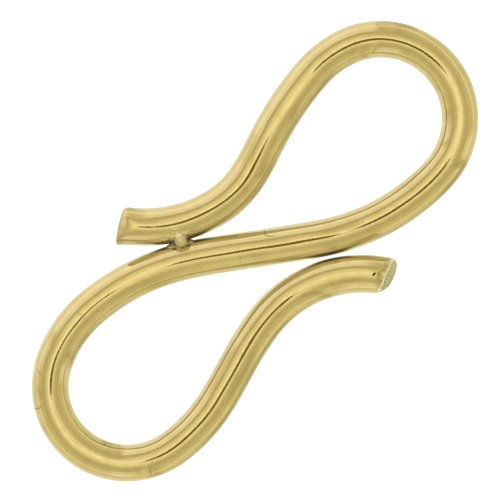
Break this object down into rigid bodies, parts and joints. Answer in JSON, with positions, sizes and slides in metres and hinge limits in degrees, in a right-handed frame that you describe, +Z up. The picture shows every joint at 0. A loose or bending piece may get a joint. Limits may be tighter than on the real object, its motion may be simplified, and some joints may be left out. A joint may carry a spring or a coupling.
{
  "type": "hook clasp",
  "caption": "Flat S-shaped hook clasp of bent round wire: one loop shut by a soldered bead, the other an open hook for a ring.",
  "frame": {"origin": "middle of the clasp in plan, on the surface that it lies on", "axes": "+X along the S towards the shut loop, +Y across it, +Z up out of the plane of the S, on the side of the bead"},
  "size_m": [0.0238, 0.0103, 0.002],
  "materials": {
    "wire_metal": "polished, with fine drawing lines and light wear"
  },
  "bodies": {
    "root": {"s_hook": "wire_metal"}
  },
  "joints": []
}
